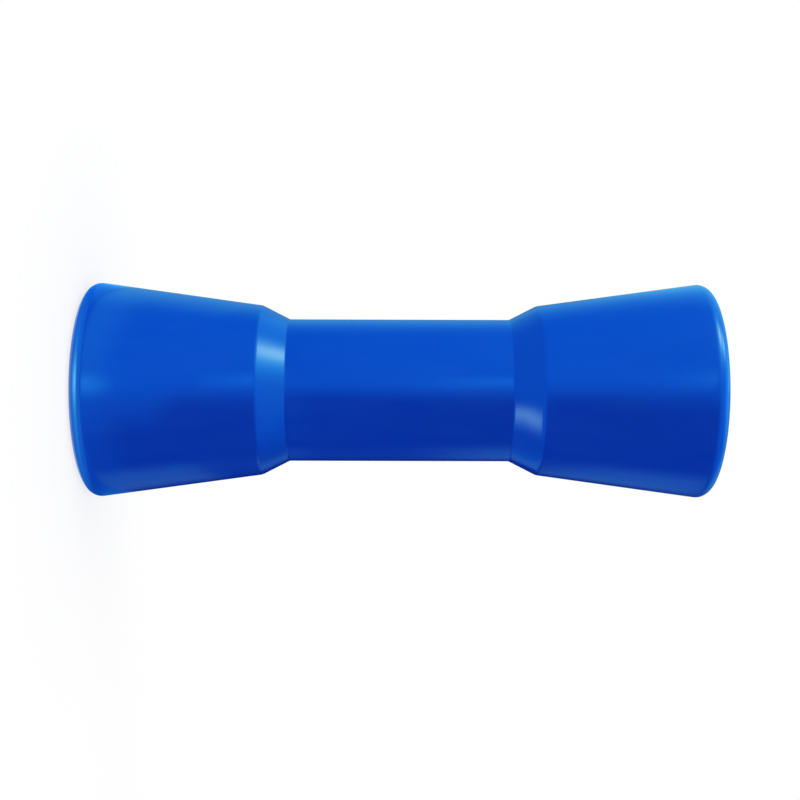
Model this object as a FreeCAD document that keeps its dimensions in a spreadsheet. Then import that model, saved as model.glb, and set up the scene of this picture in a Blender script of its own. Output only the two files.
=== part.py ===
"""Boat trailer keel roller: one moulded piece with a narrow waist, two flared ends and a spindle bore.

The roller stands on one end. Its axis is +Z and the origin is the middle of its lower end face.
All sizes are in millimetres and live in the sheet called sizes.
"""

import FreeCAD, Part
import os

import Sketcher

Vector = FreeCAD.Vector

# Each driving size: its name, its value and what it measures.
SIZES = [
    ("roller_length", 200.0, "from one end face to the other"),
    ("waist_diameter", 46.0, "round the straight waist that the keel rides on"),
    ("waist_length", 71.0, "of the straight waist, from neck to neck"),
    ("neck_rise", 4.5, "that each steep neck cone climbs out from the waist, on the radius"),
    ("neck_cone_length", 8.8, "of each steep neck cone, along the axis"),
    ("end_diameter", 70.3, "that a flare reaches at its end face, before the rim is rounded"),
    ("neck_radius", 1.5, "of the hollow corner between waist and neck cone"),
    ("shoulder_radius", 4.0, "of the soft corner between neck cone and flare"),
    ("rim_radius", 4.0, "of the rounded rim of each end"),
    ("bore_diameter", 17.0, "of the plain bore, for a 16 mm spindle"),
    ("bore_lead_in", 1.0, "of the chamfer at each mouth of the bore"),
]

# How close an edge's height and radius come to those of the ring looked for.
RING_MATCH = 0.001

# The numbers that stand for a sketch's level and upright axes, for a line's two ends and for
# the middle of a circle.
H_AXIS, V_AXIS = -1, -2
START, END, MIDDLE = 1, 2, 3


def make_sheet(doc):
    """The sheet of driving sizes: a name, a value and a meaning in each row."""
    sheet = doc.addObject("Spreadsheet::Sheet", "sizes")
    for row, (name, value, meaning) in enumerate(SIZES, start=1):
        sheet.set(f"A{row}", name.replace("_", " "))
        sheet.set(f"B{row}", str(value))
        sheet.setAlias(f"B{row}", name)
        sheet.set(f"C{row}", meaning)
    doc.recompute()
    return sheet


def new_sketch(body, name, role):
    """A sketch of the body on one of its own origin planes."""
    sketch = body.newObject("Sketcher::SketchObject", name)
    plane = next(item for item in body.Origin.OriginFeatures if item.Role == role)
    sketch.AttachmentSupport = (plane, [""])
    sketch.MapMode = "FlatFace"
    return sketch


def add_size(sketch, name, formula, constraint):
    """Adds a dimension to the sketch, gives it a name and ties it to the sheet."""
    sketch.renameConstraint(sketch.addConstraint(constraint), name)
    sketch.setExpression(f"Constraints.{name}", formula)


def draw_half_section(body, sheet):
    """Half of the section, closed along the axis, with the sketch's level axis at mid-length."""
    sketch = new_sketch(body, "half_section", "XZ_Plane")
    end_r = sheet.end_diameter / 2
    waist_r = sheet.waist_diameter / 2
    shoulder_r = waist_r + sheet.neck_rise
    end_z = sheet.roller_length / 2
    neck_z = sheet.waist_length / 2
    shoulder_z = neck_z + sheet.neck_cone_length
    upper = [(0, end_z), (end_r, end_z), (shoulder_r, shoulder_z), (waist_r, neck_z)]
    lower = [(r, -z) for r, z in reversed(upper)]
    corners = [Vector(r, z, 0) for r, z in upper + lower]
    upper_end, upper_flare, upper_neck, waist, lower_neck, lower_flare, lower_end, axis = range(8)
    for line, start in enumerate(corners):
        sketch.addGeometry(Part.LineSegment(start, corners[(line + 1) % len(corners)]), False)
    for line in range(len(corners)):
        joined = (line + 1) % len(corners)
        sketch.addConstraint(Sketcher.Constraint("Coincident", line, END, joined, START))
    mirrored = [(axis, END, axis, START), (upper_end, END, lower_flare, END)]
    mirrored += [(upper_flare, END, lower_neck, END), (upper_neck, END, waist, END)]
    for pair in mirrored:
        sketch.addConstraint(Sketcher.Constraint("Symmetric", *pair, H_AXIS))
    sketch.addConstraint(Sketcher.Constraint("PointOnObject", axis, END, V_AXIS))
    sketch.addConstraint(Sketcher.Constraint("Horizontal", upper_end))
    radii = [
        ("end_r", "sizes.end_diameter / 2", upper_end, end_r),
        ("shoulder_r", "sizes.waist_diameter / 2 + sizes.neck_rise", upper_flare, shoulder_r),
        ("waist_r", "sizes.waist_diameter / 2", upper_neck, waist_r),
    ]
    for name, formula, line, radius in radii:
        constraint = Sketcher.Constraint("DistanceX", H_AXIS, START, line, END, radius)
        add_size(sketch, name, formula, constraint)
    heights = [
        ("length", "sizes.roller_length", (axis, START, axis, END), 2 * end_z),
        ("waist", "sizes.waist_length", (waist, END, waist, START), 2 * neck_z),
        ("neck_cone", "sizes.neck_cone_length", (upper_neck, END, upper_neck, START), shoulder_z - neck_z),
    ]
    for name, formula, ends, height in heights:
        add_size(sketch, name, formula, Sketcher.Constraint("DistanceY", *ends, height))
    return sketch


def revolve(body, sketch):
    """The outer form, turned about the roller's axis."""
    turned = body.newObject("PartDesign::Revolution", "tread")
    turned.Profile = sketch
    turned.ReferenceAxis = (sketch, ["V_Axis"])
    turned.Angle = 360
    sketch.Visibility = False
    return turned


def bore_through(body, sheet):
    """The spindle's bore, cut both ways from mid-length."""
    sketch = new_sketch(body, "bore_circle", "XY_Plane")
    radius = sheet.bore_diameter / 2
    sketch.addGeometry(Part.Circle(Vector(0, 0, 0), Vector(0, 0, 1), radius), False)
    sketch.addConstraint(Sketcher.Constraint("Coincident", 0, MIDDLE, H_AXIS, START))
    add_size(sketch, "bore", "sizes.bore_diameter", Sketcher.Constraint("Diameter", 0, 2 * radius))
    bore = body.newObject("PartDesign::Pocket", "bore")
    bore.Profile = sketch
    bore.Type = "ThroughAll"
    bore.Midplane = True
    sketch.Visibility = False
    return bore


def ring_pair(feature, radius, height):
    """The names of the round edges of that radius, at that height above and below mid-length."""
    names = []
    for number, edge in enumerate(feature.Shape.Edges, start=1):
        curve = edge.Curve
        if not isinstance(curve, Part.Circle) or abs(curve.Radius - radius) > RING_MATCH:
            continue
        if abs(abs(curve.Center.z) - height) < RING_MATCH:
            names.append(f"Edge{number}")
    if len(names) != 2:
        raise RuntimeError(f"{feature.Name} has {len(names)} rings of radius {radius} at {height}")
    return names


def dress(body, kind, name, base, rings, size_property, size_name):
    """A fillet or chamfer on a pair of rings, with its size tied to the sheet."""
    feature = body.newObject(kind, name)
    feature.Base = (base, rings)
    feature.setExpression(size_property, f"sizes.{size_name}")
    body.Document.recompute()
    return feature


def make_roller(doc, sheet):
    """The roller as one body, lifted so that it stands on its lower end."""
    body = doc.addObject("PartDesign::Body", "roller")
    body.Label = "roller"
    revolve(body, draw_half_section(body, sheet))
    feature = bore_through(body, sheet)
    doc.recompute()
    end_z = sheet.roller_length / 2
    neck_z = sheet.waist_length / 2
    waist_r = sheet.waist_diameter / 2
    corners = [
        ("neck", waist_r, neck_z),
        ("shoulder", waist_r + sheet.neck_rise, neck_z + sheet.neck_cone_length),
        ("rim", sheet.end_diameter / 2, end_z),
    ]
    for name, radius, height in corners:
        rings = ring_pair(feature, radius, height)
        feature = dress(body, "PartDesign::Fillet", name, feature, rings, "Radius", f"{name}_radius")
    mouths = ring_pair(feature, sheet.bore_diameter / 2, end_z)
    dress(body, "PartDesign::Chamfer", "lead_in", feature, mouths, "Size", "bore_lead_in")
    body.setExpression("Placement.Base.z", "sizes.roller_length / 2")
    doc.recompute()
    return body


def check(doc, pieces):
    """Stops if an object failed, or if a piece isn't one valid solid."""
    failed = [item.Name for item in doc.Objects if {"Invalid", "Error"} & set(item.State)]
    if failed:
        raise RuntimeError(f"these objects failed: {failed}")
    for piece in pieces:
        shape = piece.Shape
        if shape.isNull() or not shape.isValid() or len(shape.Solids) != 1:
            raise RuntimeError(f"{piece.Label} isn't one valid solid")


def main():
    doc = FreeCAD.newDocument("keel_roller")
    pieces = [make_roller(doc, make_sheet(doc))]
    check(doc, pieces)
    os.makedirs("parts", exist_ok=True)
    for piece in pieces:
        piece.Shape.exportStep(f"parts/{piece.Label}.step")
        box = piece.Shape.optimalBoundingBox(True, False)
        print(f"{piece.Label}: {piece.Shape.Volume / 1000:.1f} cm3, {box.XLength:.2f} x {box.ZLength:.2f} mm")


main()
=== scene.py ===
"""Boat trailer keel roller in moulded blue plastic, standing on its end in a pale studio.

The roller is one moulding, made by a Geometry Nodes revolve of its half section. It fills the frame's
node called roller. All lengths are in metres: +Z is the spindle's axis and the floor is z = 0.
"""

import math

import bpy
from mathutils import Matrix, Vector


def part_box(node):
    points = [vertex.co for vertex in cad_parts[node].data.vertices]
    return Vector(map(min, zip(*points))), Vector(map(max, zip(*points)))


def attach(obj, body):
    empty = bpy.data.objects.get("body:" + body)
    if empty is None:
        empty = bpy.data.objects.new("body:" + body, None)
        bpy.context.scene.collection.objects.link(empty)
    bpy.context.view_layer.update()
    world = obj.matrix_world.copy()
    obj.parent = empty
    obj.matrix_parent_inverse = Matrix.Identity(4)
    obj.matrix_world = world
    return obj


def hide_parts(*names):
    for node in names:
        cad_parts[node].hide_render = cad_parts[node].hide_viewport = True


bl_info = {
    "name": "Keel Roller",
    "version": (1, 0, 0),
    "blender": (4, 5, 0),
    "location": "View3D > Sidebar > Keel Roller",
    "description": "A moulded boat trailer keel roller and a pale studio to show it in",
    "category": "Object",
}

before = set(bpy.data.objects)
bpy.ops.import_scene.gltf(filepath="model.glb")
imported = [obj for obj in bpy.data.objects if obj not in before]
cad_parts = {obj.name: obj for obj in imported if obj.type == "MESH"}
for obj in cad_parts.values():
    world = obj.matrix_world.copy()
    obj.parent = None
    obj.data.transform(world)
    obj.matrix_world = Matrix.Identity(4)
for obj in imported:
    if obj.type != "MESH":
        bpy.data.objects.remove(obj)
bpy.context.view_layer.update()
ROLLER_LOW, ROLLER_HIGH = (Vector(corner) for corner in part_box("roller"))
ROLLER_LENGTH = ROLLER_HIGH.z - ROLLER_LOW.z

# How far the dressed roller's box may lie from the frame's.
BOX_MATCH = 0.0001

# Millimetres across the camera's sensor.
CAMERA_SENSOR = 36.0

# The plastic's index of refraction, and how far its roughness strays from place to place.
PLASTIC_IOR = 1.93
ROUGHNESS_SWING = 0.02

# How fine each pattern in the plastic is, in noise cells to the metre.
CLOUD_SCALE = 42.0
POLISH_SCALE = 160.0
WAVE_SCALE = 55.0
PEEL_SCALE = 420.0

# Heights of the skin's waviness and of its peel, in metres.
WAVE_HEIGHT = 0.00006
PEEL_HEIGHT = 0.000003

# The clouds, the polish and the waviness are drawn out along the axis, the way that the melt flows.
MELT_FLOW = (1.0, 1.0, 0.35)

# The sockets of a Mix node that hold its factor, its two colours and its result.
MIX_FACTOR, MIX_FIRST, MIX_SECOND, MIX_RESULT = 0, 6, 7, 2

# The studio's floor and cards: radii, heights and clearance in metres, and how finely each is divided.
FLOOR_RADIUS = 6.0
FLOOR_SPOKES = 64
CARD_COLUMNS = 180
CARD_CLEARANCE = 0.0008
TENT_RADIUS = 0.8
TENT_ROWS = 60
FLOOR_CARD_INNER = 0.0334
FLOOR_CARD_OUTER = 0.79
FLOOR_CARD_ROWS = 90
SKIRTING_RADIUS = 0.1
SKIRTING_TOP = 0.048
SKIRTING_ROWS = 24

# The key lamp: its direction and distance from the roller's middle, its size and its radiance.
KEY_LAMP_SIDE = (-0.70, -0.28, 0.66)
KEY_LAMP_DISTANCE = 0.9
KEY_LAMP_WIDTH = 0.35
KEY_LAMP_HEIGHT = 0.25
KEY_LAMP_RADIANCE = 3.0


class RollerSizes(bpy.types.PropertyGroup):
    """Sizes of the roller's half section."""

    length: bpy.props.FloatProperty(
        name="Length", description="From one end face to the other",
        default=ROLLER_LENGTH, min=0.05, unit="LENGTH", precision=4)
    waist_diameter: bpy.props.FloatProperty(
        name="Waist Diameter", description="Round the straight waist that the keel rides on",
        default=0.046, min=0.02, unit="LENGTH", precision=4)
    waist_length: bpy.props.FloatProperty(
        name="Waist Length", description="Of the straight waist, from neck to neck",
        default=0.071, min=0.01, unit="LENGTH", precision=4)
    neck_rise: bpy.props.FloatProperty(
        name="Neck Rise", description="How far each steep neck cone climbs out from the waist",
        default=0.0045, min=0.0, unit="LENGTH", precision=4)
    neck_cone_length: bpy.props.FloatProperty(
        name="Neck Cone Length", description="Of each steep neck cone, along the axis",
        default=0.0088, min=0.001, unit="LENGTH", precision=4)
    end_diameter: bpy.props.FloatProperty(
        name="End Diameter", description="Of a flare at its end face, before the rim is rounded",
        default=0.0703, min=0.02, unit="LENGTH", precision=4)
    neck_radius: bpy.props.FloatProperty(
        name="Neck Radius", description="Of the hollow corner between waist and neck cone",
        default=0.0015, min=0.0, unit="LENGTH", precision=4)
    shoulder_radius: bpy.props.FloatProperty(
        name="Shoulder Radius", description="Of the soft corner between neck cone and flare",
        default=0.004, min=0.0, unit="LENGTH", precision=4)
    rim_radius: bpy.props.FloatProperty(
        name="Rim Radius", description="Of the rounded rim of each end",
        default=0.004, min=0.0, unit="LENGTH", precision=4)
    bore_diameter: bpy.props.FloatProperty(
        name="Bore Diameter", description="Of the plain bore for the spindle",
        default=0.017, min=0.005, unit="LENGTH", precision=4)
    bore_lead_in: bpy.props.FloatProperty(
        name="Bore Lead In", description="Of the chamfer at each mouth of the bore",
        default=0.001, min=0.0, unit="LENGTH", precision=4)
    edge_radius: bpy.props.FloatProperty(
        name="Edge Radius", description="Of the slight softening of the chamfers' edges",
        default=0.00015, min=0.0, unit="LENGTH", precision=5)
    sides: bpy.props.IntProperty(
        name="Sides", description="Flats round the roller", default=192, min=24, max=512)
    arc_points: bpy.props.IntProperty(
        name="Arc Points", description="Points on each rounded corner of the half section",
        default=12, min=2, max=64)
    longest_flat: bpy.props.FloatProperty(
        name="Longest Flat", description="Along the straight stretches of the half section",
        default=0.003, min=0.0005, unit="LENGTH", precision=4)


class RollerFinish(bpy.types.PropertyGroup):
    """Colour and surface of the moulded plastic."""

    colour: bpy.props.FloatVectorProperty(
        name="Colour", description="Of the plastic", subtype="COLOR", size=3,
        min=0.0, max=1.0, default=(0.0005, 0.031, 0.450))
    cloud_colour: bpy.props.FloatVectorProperty(
        name="Cloud Colour", description="Of the faint clouds that the melt leaves in the plastic",
        subtype="COLOR", size=3, min=0.0, max=1.0, default=(0.0005, 0.034, 0.465))
    sheen_colour: bpy.props.FloatVectorProperty(
        name="Sheen Colour", description="Tint of what the plastic reflects face on",
        subtype="COLOR", size=3, min=0.0, max=1.0, default=(0.25, 0.75, 1.0))
    roughness: bpy.props.FloatProperty(
        name="Roughness", description="Of the moulded skin", default=0.13, min=0.0, max=1.0)


class StudioSettings(bpy.types.PropertyGroup):
    """Camera, lamps and cards of the studio."""

    camera_distance: bpy.props.FloatProperty(
        name="Camera Distance", description="From the camera to the roller's axis",
        default=0.422963, min=0.1, unit="LENGTH", precision=4)
    camera_lens: bpy.props.FloatProperty(
        name="Camera Lens", description="Focal length in millimetres on a 36 mm sensor",
        default=58.409, min=10.0, max=300.0)
    camera_turn: bpy.props.FloatProperty(
        name="Camera Turn", description="To the picture's right", subtype="ANGLE", default=0.0058)
    camera_tilt: bpy.props.FloatProperty(
        name="Camera Tilt", description="To the picture's top", subtype="ANGLE", default=-0.0074)
    camera_roll: bpy.props.FloatProperty(
        name="Camera Roll", description="About the line of sight", subtype="ANGLE", default=0.0029)
    camera_shortfall: bpy.props.FloatProperty(
        name="Camera Shortfall", description="How far below mid-length the camera stands",
        default=0.002239, unit="LENGTH", precision=4)
    floor_colour: bpy.props.FloatVectorProperty(
        name="Floor Colour", description="Of the floor and of everything round it", subtype="COLOR",
        size=3, min=0.0, max=1.0, default=(1.0, 1.0, 1.0))
    floor_glow: bpy.props.FloatProperty(
        name="Floor Glow", description="Share of the floor's brightness that a shadow can't take away",
        default=0.75, min=0.0, max=1.0)
    tent_colour: bpy.props.FloatVectorProperty(
        name="Tent Colour", description="Of the tent's cloth in front of the roller",
        subtype="COLOR", size=3, min=0.0, max=1.0, default=(0.005, 0.28, 0.93))
    wall_colour: bpy.props.FloatVectorProperty(
        name="Wall Colour", description="Of the pale walls behind the roller and round the lamps",
        subtype="COLOR", size=3, min=0.0, max=1.0, default=(0.25, 0.95, 0.85))
    lamp_colour: bpy.props.FloatVectorProperty(
        name="Lamp Colour", description="Of the softboxes in the middle of their glow",
        subtype="COLOR", size=3, min=0.0, max=1.0, default=(1.0, 0.45, 0.15))


def add_node(tree, kind, inputs=(), **settings):
    """Adds a node, sets its own settings, and sets or links each input that is given."""
    made = tree.nodes.new(kind)
    for name, value in settings.items():
        setattr(made, name, value)
    for key, value in dict(inputs).items():
        if isinstance(value, bpy.types.NodeSocket):
            tree.links.new(value, made.inputs[key])
        else:
            made.inputs[key].default_value = value
    return made


def calculate(tree, operation, first, second=0.0):
    """The result of one sum on one or two numbers or sockets."""
    return add_node(tree, "ShaderNodeMath", {0: first, 1: second}, operation=operation).outputs[0]


def place(tree, x, y):
    """A point of the half section as a vector socket."""
    return add_node(tree, "ShaderNodeCombineXYZ", {"X": x, "Y": y}).outputs[0]


# The roller

SECTION_INPUTS = [
    ("Length", "length"),
    ("Waist Diameter", "waist_diameter"),
    ("Waist Length", "waist_length"),
    ("Neck Rise", "neck_rise"),
    ("Neck Cone Length", "neck_cone_length"),
    ("End Diameter", "end_diameter"),
    ("Neck Radius", "neck_radius"),
    ("Shoulder Radius", "shoulder_radius"),
    ("Rim Radius", "rim_radius"),
    ("Bore Diameter", "bore_diameter"),
    ("Bore Lead In", "bore_lead_in"),
    ("Edge Radius", "edge_radius"),
    ("Longest Flat", "longest_flat"),
]
COUNT_INPUTS = [
    ("Sides", "sides"),
    ("Arc Points", "arc_points"),
]


def section_corners(tree, given):
    """The half section's corners in order, each with its fillet radius.

    A corner's first number is its distance from the axis, its second its height above mid-length.
    """
    waist_r = calculate(tree, "MULTIPLY", given["Waist Diameter"], 0.5)
    shoulder_r = calculate(tree, "ADD", waist_r, given["Neck Rise"])
    end_r = calculate(tree, "MULTIPLY", given["End Diameter"], 0.5)
    bore_r = calculate(tree, "MULTIPLY", given["Bore Diameter"], 0.5)
    mouth_r = calculate(tree, "ADD", bore_r, given["Bore Lead In"])
    end_z = calculate(tree, "MULTIPLY", given["Length"], 0.5)
    neck_z = calculate(tree, "MULTIPLY", given["Waist Length"], 0.5)
    shoulder_z = calculate(tree, "ADD", neck_z, given["Neck Cone Length"])
    wall_z = calculate(tree, "SUBTRACT", end_z, given["Bore Lead In"])
    upper = [
        (waist_r, neck_z, given["Neck Radius"]),
        (shoulder_r, shoulder_z, given["Shoulder Radius"]),
        (end_r, end_z, given["Rim Radius"]),
        (mouth_r, end_z, given["Edge Radius"]),
        (bore_r, wall_z, given["Edge Radius"]),
    ]
    lower = [(r, calculate(tree, "MULTIPLY", z, -1.0), radius) for r, z, radius in reversed(upper)]
    return upper + lower


def pick_by_index(tree, data_type, choices):
    """A field whose value at each point is the choice that has the point's number."""
    index = add_node(tree, "GeometryNodeInputIndex").outputs[0]
    switch = add_node(tree, "GeometryNodeIndexSwitch", {"Index": index}, data_type=data_type)
    while len(switch.index_switch_items) < len(choices):
        switch.index_switch_items.new()
    for number, choice in enumerate(choices):
        tree.links.new(choice, switch.inputs[number + 1])
    return switch.outputs[0]


def split_long_flats(tree, curve, longest_flat):
    """Adds points along the straight stretches, so that shading stays true beside the arcs."""
    here = add_node(tree, "GeometryNodeInputPosition").outputs[0]
    index = add_node(tree, "GeometryNodeInputIndex").outputs[0]
    following = add_node(
        tree, "GeometryNodeOffsetPointInCurve", {"Point Index": index, "Offset": 1})
    there = add_node(
        tree, "GeometryNodeFieldAtIndex", {"Value": here, "Index": following.outputs["Point Index"]},
        data_type="FLOAT_VECTOR", domain="POINT").outputs[0]
    gap = add_node(tree, "ShaderNodeVectorMath", {0: here, 1: there}, operation="DISTANCE")
    cuts = calculate(tree, "FLOOR", calculate(tree, "DIVIDE", gap.outputs["Value"], longest_flat))
    return add_node(tree, "GeometryNodeSubdivideCurve", {"Curve": curve, "Cuts": cuts}).outputs[0]


def make_revolve_tree():
    """A node tree that turns the half section, from named sizes, into the whole roller."""
    tree = bpy.data.node_groups.new("roller_revolve", "GeometryNodeTree")
    sockets = tree.interface
    sockets.new_socket("Geometry", in_out="INPUT", socket_type="NodeSocketGeometry")
    for label, _ in SECTION_INPUTS:
        sockets.new_socket(label, in_out="INPUT", socket_type="NodeSocketFloat")
    for label, _ in COUNT_INPUTS:
        sockets.new_socket(label, in_out="INPUT", socket_type="NodeSocketInt")
    sockets.new_socket("Material", in_out="INPUT", socket_type="NodeSocketMaterial")
    sockets.new_socket("Geometry", in_out="OUTPUT", socket_type="NodeSocketGeometry")
    given = add_node(tree, "NodeGroupInput").outputs

    corners = section_corners(tree, given)
    path_r = calculate(tree, "MULTIPLY", given["Waist Diameter"], 0.5)
    places = [place(tree, calculate(tree, "SUBTRACT", r, path_r), z) for r, z, _ in corners]
    place_of_each = pick_by_index(tree, "VECTOR", places)
    points = add_node(tree, "GeometryNodePoints", {"Count": len(corners), "Position": place_of_each})
    curve = add_node(tree, "GeometryNodePointsToCurves", {"Points": points.outputs[0]}).outputs[0]
    curve = add_node(
        tree, "GeometryNodeSetSplineCyclic", {"Geometry": curve, "Cyclic": True}).outputs[0]
    radii = pick_by_index(tree, "FLOAT", [radius for _, _, radius in corners])
    curve = add_node(
        tree, "GeometryNodeFilletCurve",
        {"Curve": curve, "Count": given["Arc Points"], "Radius": radii}, mode="POLY").outputs[0]
    section = split_long_flats(tree, curve, given["Longest Flat"])

    ring = add_node(
        tree, "GeometryNodeCurvePrimitiveCircle",
        {"Resolution": given["Sides"], "Radius": path_r}, mode="RADIUS").outputs["Curve"]
    mesh = add_node(
        tree, "GeometryNodeCurveToMesh", {"Curve": ring, "Profile Curve": section}).outputs[0]
    half_length = calculate(tree, "MULTIPLY", given["Length"], 0.5)
    lift = add_node(tree, "ShaderNodeCombineXYZ", {"Z": half_length}).outputs[0]
    mesh = add_node(tree, "GeometryNodeSetPosition", {"Geometry": mesh, "Offset": lift}).outputs[0]
    mesh = add_node(tree, "GeometryNodeSetShadeSmooth", {"Geometry": mesh}).outputs[0]
    mesh = add_node(tree, "GeometryNodeRealizeInstances", {"Geometry": mesh}).outputs[0]
    mesh = add_node(
        tree, "GeometryNodeSetMaterial", {"Geometry": mesh, "Material": given["Material"]}).outputs[0]
    add_node(tree, "NodeGroupOutput", {"Geometry": mesh})
    return tree


def set_inputs(modifier, values):
    """Sets a node modifier's inputs by the identifiers of their sockets."""
    for item in modifier.node_group.interface.items_tree:
        if item.item_type == "SOCKET" and item.in_out == "INPUT" and item.name in values:
            modifier[item.identifier] = values[item.name]


def bake_nodes(name, tree, values):
    """A plain mesh object holding what the node tree makes from the values."""
    carrier = bpy.data.objects.new(f"{name}_carrier", bpy.data.meshes.new(f"{name}_carrier"))
    bpy.context.scene.collection.objects.link(carrier)
    modifier = carrier.modifiers.new("revolve", "NODES")
    modifier.node_group = tree
    set_inputs(modifier, values)
    carrier.update_tag()
    bpy.context.view_layer.update()
    evaluated = carrier.evaluated_get(bpy.context.evaluated_depsgraph_get())
    mesh = bpy.data.meshes.new_from_object(evaluated)
    mesh.name = name
    bpy.data.objects.remove(carrier)
    piece = bpy.data.objects.new(name, mesh)
    bpy.context.scene.collection.objects.link(piece)
    return piece


def check_box(piece, low, high):
    """Stops if the piece doesn't fill the box of the node that it stands for."""
    corners = [vertex.co for vertex in piece.data.vertices]
    for axis in range(3):
        lowest = min(corner[axis] for corner in corners)
        highest = max(corner[axis] for corner in corners)
        if abs(lowest - low[axis]) > BOX_MATCH or abs(highest - high[axis]) > BOX_MATCH:
            raise RuntimeError(f"{piece.name} spans {lowest:.5f} to {highest:.5f} on axis {axis}")


def plastic_material(finish):
    """Blue plastic as it leaves a polished mould: faint clouds, a fine peel and a slight waviness."""
    material = bpy.data.materials.new("moulded_plastic")
    material.use_nodes = True
    tree = material.node_tree
    tree.nodes.clear()
    where = add_node(tree, "ShaderNodeTexCoord").outputs["Object"]
    stretched = add_node(
        tree, "ShaderNodeMapping", {"Vector": where, "Scale": MELT_FLOW}).outputs[0]
    clouds = add_node(
        tree, "ShaderNodeTexNoise",
        {"Vector": stretched, "Scale": CLOUD_SCALE, "Detail": 4.0, "Roughness": 0.55})
    blend = add_node(
        tree, "ShaderNodeMapRange",
        {"Value": clouds.outputs[0], "From Min": 0.35, "From Max": 0.65, "To Min": 0.0, "To Max": 1.0})
    colour = add_node(
        tree, "ShaderNodeMix",
        {MIX_FACTOR: blend.outputs[0], MIX_FIRST: (*finish.colour, 1.0),
         MIX_SECOND: (*finish.cloud_colour, 1.0)}, data_type="RGBA")
    polish = add_node(
        tree, "ShaderNodeTexNoise", {"Vector": stretched, "Scale": POLISH_SCALE, "Detail": 3.0})
    roughness = add_node(
        tree, "ShaderNodeMapRange",
        {"Value": polish.outputs[0], "From Min": 0.3, "From Max": 0.7,
         "To Min": finish.roughness - ROUGHNESS_SWING, "To Max": finish.roughness + ROUGHNESS_SWING})
    waviness = add_node(
        tree, "ShaderNodeTexNoise", {"Vector": stretched, "Scale": WAVE_SCALE, "Detail": 1.0})
    wavy = add_node(
        tree, "ShaderNodeBump",
        {"Height": waviness.outputs[0], "Strength": 1.0, "Distance": WAVE_HEIGHT})
    peel = add_node(
        tree, "ShaderNodeTexNoise", {"Vector": where, "Scale": PEEL_SCALE, "Detail": 1.0})
    peeled = add_node(
        tree, "ShaderNodeBump",
        {"Height": peel.outputs[0], "Strength": 1.0, "Distance": PEEL_HEIGHT,
         "Normal": wavy.outputs[0]})
    shader = add_node(
        tree, "ShaderNodeBsdfPrincipled",
        {"Base Color": colour.outputs[MIX_RESULT], "Roughness": roughness.outputs[0],
         "IOR": PLASTIC_IOR, "Specular IOR Level": 1.0,
         "Specular Tint": (*finish.sheen_colour, 1.0), "Normal": peeled.outputs[0]})
    add_node(tree, "ShaderNodeOutputMaterial", {"Surface": shader.outputs[0]})
    return material


class KEELROLLER_OT_make_roller(bpy.types.Operator):
    """Make the moulded roller in place of the plain one"""

    bl_idname = "keel_roller.make_roller"
    bl_label = "Make Roller"

    def execute(self, context):
        sizes = context.scene.keel_roller_sizes
        values = {label: getattr(sizes, name) for label, name in SECTION_INPUTS + COUNT_INPUTS}
        values["Material"] = plastic_material(context.scene.keel_roller_finish)
        piece = bake_nodes("moulded_roller", make_revolve_tree(), values)
        check_box(piece, ROLLER_LOW, ROLLER_HIGH)
        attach(piece, "root")
        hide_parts("roller")
        return {"FINISHED"}


# The studio

def add_stage_mesh(name, vertices, faces, material, glow=None):
    """A floor or card of the studio, which isn't part of the roller."""
    mesh = bpy.data.meshes.new(name)
    mesh.from_pydata(vertices, [], faces)
    if glow:
        layer = mesh.attributes.new("glow", "FLOAT_VECTOR", "POINT")
        layer.data.foreach_set("vector", [value for colour in glow for value in colour])
    mesh.materials.append(material)
    thing = bpy.data.objects.new(name, mesh)
    bpy.context.scene.collection.objects.link(thing)
    return thing


def floor_material(settings):
    """Pale matt paper that glows a little, so that shadows on it stay faint."""
    material = bpy.data.materials.new("studio_floor")
    material.use_nodes = True
    material.cycles.emission_sampling = "NONE"
    tree = material.node_tree
    tree.nodes.clear()
    colour = (*settings.floor_colour, 1.0)
    paper = add_node(tree, "ShaderNodeBsdfDiffuse", {"Color": colour})
    light = add_node(tree, "ShaderNodeEmission", {"Color": colour, "Strength": 1.0})
    mix = add_node(
        tree, "ShaderNodeMixShader",
        {0: settings.floor_glow, 1: paper.outputs[0], 2: light.outputs[0]})
    add_node(tree, "ShaderNodeOutputMaterial", {"Surface": mix.outputs[0]})
    return material


def card_material(name):
    """A card whose light at each point is the glow stored there, as a colour."""
    material = bpy.data.materials.new(name)
    material.use_nodes = True
    material.cycles.emission_sampling = "NONE"
    tree = material.node_tree
    tree.nodes.clear()
    glow = add_node(tree, "ShaderNodeAttribute", attribute_name="glow")
    light = add_node(tree, "ShaderNodeEmission", {"Color": glow.outputs["Vector"], "Strength": 1.0})
    add_node(tree, "ShaderNodeOutputMaterial", {"Surface": light.outputs[0]})
    return material


def show_only_in_reflections(thing):
    """Leaves a card to be seen in gloss and nowhere else."""
    thing.visible_camera = False
    thing.visible_diffuse = False
    thing.visible_shadow = False
    thing.visible_transmission = False
    thing.visible_volume_scatter = False


def lay_floor(settings):
    """A round floor at the height of the roller's lower end."""
    angles = [2 * math.pi * spoke / FLOOR_SPOKES for spoke in range(FLOOR_SPOKES)]
    rim = [(FLOOR_RADIUS * math.cos(angle), FLOOR_RADIUS * math.sin(angle), ROLLER_LOW.z)
           for angle in angles]
    add_stage_mesh("studio_floor", rim, [tuple(range(FLOOR_SPOKES))], floor_material(settings))


# The tent's light

# Turns are in degrees about the axis, from the camera's side towards +X, and run from -180 to 180.
# Heights are in degrees above mid-length, seen from the axis, and reaches are distances from the
# axis in metres. Left, right, top and bottom are the picture's: the roller's foot is on its left,
# and turns below 0 are on the side of its top.

# Levels say how much of the cloth's, the walls' and the lamps' colour shows.
CLOTH, WALL, LAMP = Vector((1, 0, 0)), Vector((0, 1, 0)), Vector((0, 0, 1))

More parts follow.
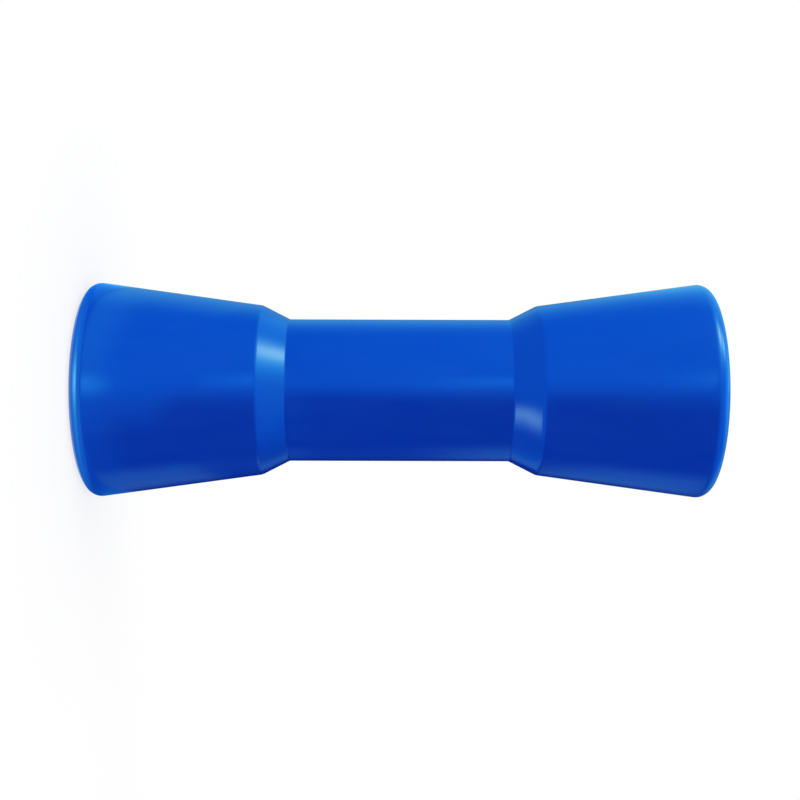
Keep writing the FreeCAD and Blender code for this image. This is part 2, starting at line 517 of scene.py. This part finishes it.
# The turns, to either side, between which pale wall takes the cloth's place and then dims.
BEHIND = (95.0, 150.0)
FAR_BEHIND = (125.0, 175.0)

# The turns, counted on round the back, between which the dark side ends.
DARK_SIDE_END = (160.0, 220.0)

# The turns between which a pale strip, which the roller's bottom edge shows, comes and goes.
REAR_STRIP = (90.0, 118.0, 136.0, 158.0)

# Soft spots on the tent: the middle and spread in turn, the middle and spread in height, the light.
TENT_SPOTS = [
    # The line of light along the right half of the waist, and a fainter one nearer mid-length
    (-14.0, 5.0, 7.3, 2.2, 0.21 * CLOTH + 0.26 * WALL),
    (-5.0, 4.0, 4.8, 1.3, 0.0945 * CLOTH + 0.117 * WALL),
    # The softbox that the left neck cone shows, with its glow on the walls round it
    (-67.0, 14.0, 42.0, 12.0, -0.35 * CLOTH),
    (-65.0, 20.5, 42.0, 12.5, 1.55 * WALL),
    (-50.0, 50.0, 45.0, 20.0, 0.25 * WALL),
    (-67.0, 9.0, 41.5, 5.8, 3.9 * LAMP),
    # The second softbox, above the first, which the right rim shows
    (-75.0, 14.0, 61.0, 5.0, 1.7 * WALL + 1.8 * LAMP),
]

# Soft spots on the floor card, close round the roller's foot, with reaches in place of heights.
RIM_REACH, RIM_SPREAD = 0.0357, 0.0009
FLOOR_SPOTS = [
    (5.0, 24.0, RIM_REACH, RIM_SPREAD, 0.8 * WALL),
    (-6.0, 8.0, RIM_REACH, RIM_SPREAD, 1.6 * WALL),
    (-4.0, 7.0, RIM_REACH, RIM_SPREAD, LAMP),
]

# The floor card's bright patch, which the right neck cone shows: its middle and spread in turn and
# in reach, and how many degrees further round it lies for each metre further out.
PATCH_TURN, PATCH_TURN_SPREAD = 42.84, 5.2
PATCH_REACH, PATCH_REACH_SPREAD = 0.168, 0.018
PATCH_SLANT = 560.0


def rise(value, start, end):
    """0 before start, 1 after end and a soft rise between."""
    share = min(max((value - start) / (end - start), 0.0), 1.0)
    return share * share * (3 - 2 * share)


def window(value, start, full, fade, end):
    """1 from full to fade, 0 before start and after end, and soft between."""
    return rise(value, start, full) * (1 - rise(value, fade, end))


def spot(value, middle, spread):
    """1 at the middle, fading softly on both sides."""
    return math.exp(-0.5 * ((value - middle) / spread) ** 2)


def light_of_spots(spots, turn, value):
    """The light of all the soft spots in a list, at a turn and a height or reach."""
    light = Vector((0, 0, 0))
    for turn_middle, turn_spread, middle, spread, full in spots:
        light += spot(turn, turn_middle, turn_spread) * spot(value, middle, spread) * full
    return light


def round_back(turn):
    """The turn counted on past 180, so that the back of the tent lies in one stretch."""
    return turn + 360.0 if turn < -90.0 else turn


def cloth_or_wall(openness, turn):
    """Levels all round the tent: cloth in front, which gives way to paler and dimmer wall behind."""
    behind = rise(abs(turn), *BEHIND)
    far_behind = rise(abs(turn), *FAR_BEHIND)
    dimming = 1.0 - 0.3 * far_behind
    cloth = (1.0 - 0.35 * behind) * dimming
    wall = 0.6 * behind * dimming
    lamp = 0.06 * far_behind
    return openness * Vector((cloth, wall, lamp))


def tent_glow(turn, height):
    """Levels at one place on the tent, which is bright on one side and dark on the other."""
    dark_from = 19.0 + 6.0 * rise(height, -2.0, 4.0)
    dark = window(round_back(turn), -15.0, dark_from, *DARK_SIDE_END) * (1 - rise(height, 8.0, 52.0))
    levels = cloth_or_wall(1.0 - dark, turn)
    strip = window(turn, *REAR_STRIP) * (0.15 + 0.85 * rise(height, 0.0, 8.0))
    strip *= 1 - rise(height, 11.0, 20.0)
    levels += strip * (0.2 * CLOTH + 0.18 * WALL + 0.05 * LAMP)
    top_back = rise(-turn, 85.0, 110.0) * rise(height, 8.0, 18.0)
    levels += top_back * (0.1 * CLOTH + 0.3 * WALL)
    roof = rise(height, 55.0, 80.0)
    levels += roof * (0.6 * CLOTH + 0.5 * WALL)
    return levels + light_of_spots(TENT_SPOTS, turn, height)


def ground_glow(turn, reach):
    """Levels at one place on the floor card."""
    past = round_back(turn)
    levels = cloth_or_wall(0.75 - 0.39 * window(past, 58.0, 75.0, *DARK_SIDE_END), turn)
    shaded = window(past, 110.0, 150.0, *DARK_SIDE_END)
    levels.y *= 1 - shaded
    levels.z *= 1 - shaded
    strip = window(turn, *REAR_STRIP)
    far_strip = strip * rise(reach, 0.35, 0.5)
    levels += far_strip * (0.1 * CLOTH + 0.12 * WALL + 0.05 * LAMP)
    levels += 0.15 * (strip - far_strip) * CLOTH
    top_side = window(-turn, 10.0, 30.0, 100.0, 150.0) * (1 - rise(reach, 0.05, 0.07))
    levels += 0.4 * top_side * CLOTH
    top_edge = window(-turn, 70.0, 100.0, 130.0, 160.0) * (1 - rise(reach, 0.08, 0.105))
    levels += top_edge * (0.35 * CLOTH + 0.2 * WALL)
    front = spot(turn, 5.0, 40.0) * (1 - rise(reach, 0.045, 0.065))
    levels += 0.35 * front * WALL
    patch_turn = PATCH_TURN + PATCH_SLANT * (reach - PATCH_REACH)
    patch = spot(turn, patch_turn, PATCH_TURN_SPREAD) * spot(reach, PATCH_REACH, PATCH_REACH_SPREAD)
    levels += patch * (0.75 * WALL + 1.8 * LAMP)
    return levels + light_of_spots(FLOOR_SPOTS, turn, reach)


def skirting_glow(turn, z):
    """Levels at one place on the low band round the roller's foot, z metres above the floor.

    The band is close by, so the gloss sees each place on it in a direction that has turned further, and
    it shows what the tent shows there, with the dark side held back lower down.
    """
    seen = turn * (1.2 - 0.2 * rise(abs(turn), 100.0, 180.0))
    held_back = 8.0 * rise(seen, -45.0, -5.0) + 28.0 * rise(seen, -5.0, 60.0)
    held_back *= (1 - rise(seen, 60.0, 110.0)) * (1 - rise(z, 0.028, 0.048))
    levels = tent_glow(seen - held_back, 60.0 * max(z - 0.025, 0.0) - 1.0)
    low = 1 - rise(z, 0.008, 0.020)
    top_side = window(-turn, 10.0, 30.0, 90.0, 140.0)
    bottom_side = window(turn, 5.0, 25.0, 60.0, 110.0)
    glint = spot(turn, -5.0, 7.0)
    levels += low * (0.3 * bottom_side + 0.3 * glint) * CLOTH
    levels += low * (0.18 * top_side + 0.5 * glint) * WALL
    strip = window(seen, *REAR_STRIP) * (1 - rise(z, 0.030, 0.045))
    levels += strip * (0.1 * CLOTH + 0.15 * WALL + 0.05 * LAMP)
    return levels


def steps(start, end, count, power=1):
    """Numbers from start to end in even steps, or for a power above 1 in steps that start small."""
    return [start + (end - start) * (step / count) ** power for step in range(count + 1)]


def add_round_card(name, rows, glow_at, settings):
    """A card all round the axis. Each row is a ring's radius, its height and its value for the glow."""
    tints = Matrix((settings.tent_colour, settings.wall_colour, settings.lamp_colour)).transposed()
    vertices = []
    glow = []
    for turn in steps(-180.0, 180.0, CARD_COLUMNS):
        angle = math.radians(turn)
        for radius, z, value in rows:
            vertices.append((radius * math.sin(angle), -radius * math.cos(angle), z))
            glow.append(tints @ glow_at(turn, value))
    faces = []
    for column in range(CARD_COLUMNS):
        for row in range(len(rows) - 1):
            corner = column * len(rows) + row
            faces.append((corner, corner + 1, corner + len(rows) + 1, corner + len(rows)))
    card = add_stage_mesh(name, vertices, faces, card_material(name), glow)
    show_only_in_reflections(card)


def hang_tent(settings):
    """The soft tent round the roller, the card on the floor and the band round the roller's foot."""
    floor_z = ROLLER_LOW.z
    middle = floor_z + ROLLER_LENGTH / 2
    lowest = math.degrees(math.asin((floor_z - middle) / TENT_RADIUS))
    dome = []
    for height in steps(lowest, 90.0, TENT_ROWS):
        angle = math.radians(height)
        dome.append((TENT_RADIUS * math.cos(angle), middle + TENT_RADIUS * math.sin(angle), height))
    add_round_card("studio_tent", dome, tent_glow, settings)
    reaches = steps(FLOOR_CARD_INNER, FLOOR_CARD_OUTER, FLOOR_CARD_ROWS, power=3)
    floor_rings = [(reach, floor_z + CARD_CLEARANCE, reach) for reach in reaches]
    add_round_card("floor_card", floor_rings, ground_glow, settings)
    bands = steps(CARD_CLEARANCE, SKIRTING_TOP, SKIRTING_ROWS)
    skirting = [(SKIRTING_RADIUS, floor_z + z, z) for z in bands]
    add_round_card("skirting_card", skirting, skirting_glow, settings)


def aim(thing, target):
    """Turns a lamp's -Z towards the target."""
    thing.rotation_euler = (Vector(target) - thing.location).to_track_quat("-Z", "Y").to_euler()


def hang_key_lamp():
    """The key softbox, high on the side that is the picture's top. The tent shows its gloss."""
    middle = Vector((0.0, 0.0, ROLLER_LOW.z + ROLLER_LENGTH / 2))
    light = bpy.data.lights.new("key_softbox", "AREA")
    light.shape = "RECTANGLE"
    light.size = KEY_LAMP_WIDTH
    light.size_y = KEY_LAMP_HEIGHT
    light.energy = KEY_LAMP_RADIANCE * math.pi * KEY_LAMP_WIDTH * KEY_LAMP_HEIGHT
    lamp = bpy.data.objects.new("key_softbox", light)
    lamp.location = middle + KEY_LAMP_DISTANCE * Vector(KEY_LAMP_SIDE).normalized()
    aim(lamp, middle)
    lamp.visible_camera = False
    lamp.visible_glossy = False
    bpy.context.scene.collection.objects.link(lamp)


def light_world(settings):
    """An even pale world."""
    world = bpy.data.worlds.new("studio_world")
    world.use_nodes = True
    background = world.node_tree.nodes["Background"]
    background.inputs["Color"].default_value = (*settings.floor_colour, 1.0)
    background.inputs["Strength"].default_value = 1.0
    world.cycles_visibility.glossy = False
    bpy.context.scene.world = world


def set_camera(settings):
    """The camera at the photograph's viewpoint, which shows the standing roller across the picture.

    The picture's right is +Z and its top is -X.
    """
    data = bpy.data.cameras.new("camera")
    data.sensor_width = CAMERA_SENSOR
    data.lens = settings.camera_lens
    data.clip_start = 0.01
    camera = bpy.data.objects.new("camera", data)
    right, up, back = Vector((0, 0, 1)), Vector((-1, 0, 0)), Vector((0, -1, 0))
    level = Matrix((right, up, back)).transposed()
    turn = Matrix.Rotation(-settings.camera_turn, 3, "Y")
    tilt = Matrix.Rotation(settings.camera_tilt, 3, "X")
    roll = Matrix.Rotation(settings.camera_roll, 3, "Z")
    stand = Vector((0, -settings.camera_distance, ROLLER_LENGTH / 2 - settings.camera_shortfall))
    camera.matrix_world = Matrix.Translation(stand) @ (level @ turn @ tilt @ roll).to_4x4()
    bpy.context.scene.collection.objects.link(camera)
    bpy.context.scene.camera = camera


class KEELROLLER_OT_make_studio(bpy.types.Operator):
    """Lay the floor, hang the lamps and cards, and set the camera"""

    bl_idname = "keel_roller.make_studio"
    bl_label = "Make Studio"

    def execute(self, context):
        settings = context.scene.keel_roller_studio
        context.scene.view_settings.view_transform = "Standard"
        light_world(settings)
        lay_floor(settings)
        hang_tent(settings)
        hang_key_lamp()
        set_camera(settings)
        return {"FINISHED"}


class KEELROLLER_PT_panel(bpy.types.Panel):
    """The roller's sizes and colours, and the steps that make it"""

    bl_idname = "KEELROLLER_PT_panel"
    bl_label = "Keel Roller"
    bl_space_type = "VIEW_3D"
    bl_region_type = "UI"
    bl_category = "Keel Roller"

    def draw(self, context):
        scene = context.scene
        for group in (scene.keel_roller_sizes, scene.keel_roller_finish, scene.keel_roller_studio):
            box = self.layout.box()
            for name in group.__annotations__:
                box.prop(group, name)
        self.layout.operator(KEELROLLER_OT_make_roller.bl_idname)
        self.layout.operator(KEELROLLER_OT_make_studio.bl_idname)


CLASSES = (
    RollerSizes,
    RollerFinish,
    StudioSettings,
    KEELROLLER_OT_make_roller,
    KEELROLLER_OT_make_studio,
    KEELROLLER_PT_panel,
)


def register():
    """Registers the classes and gives each scene its settings."""
    for item in CLASSES:
        bpy.utils.register_class(item)
    bpy.types.Scene.keel_roller_sizes = bpy.props.PointerProperty(type=RollerSizes)
    bpy.types.Scene.keel_roller_finish = bpy.props.PointerProperty(type=RollerFinish)
    bpy.types.Scene.keel_roller_studio = bpy.props.PointerProperty(type=StudioSettings)


def unregister():
    """Takes the settings and the classes away again."""
    del bpy.types.Scene.keel_roller_studio
    del bpy.types.Scene.keel_roller_finish
    del bpy.types.Scene.keel_roller_sizes
    for item in reversed(CLASSES):
        bpy.utils.unregister_class(item)


def main():
    """Makes the roller and its studio."""
    register()
    bpy.ops.keel_roller.make_roller()
    bpy.ops.keel_roller.make_studio()


if __name__ == "__main__":
    main()
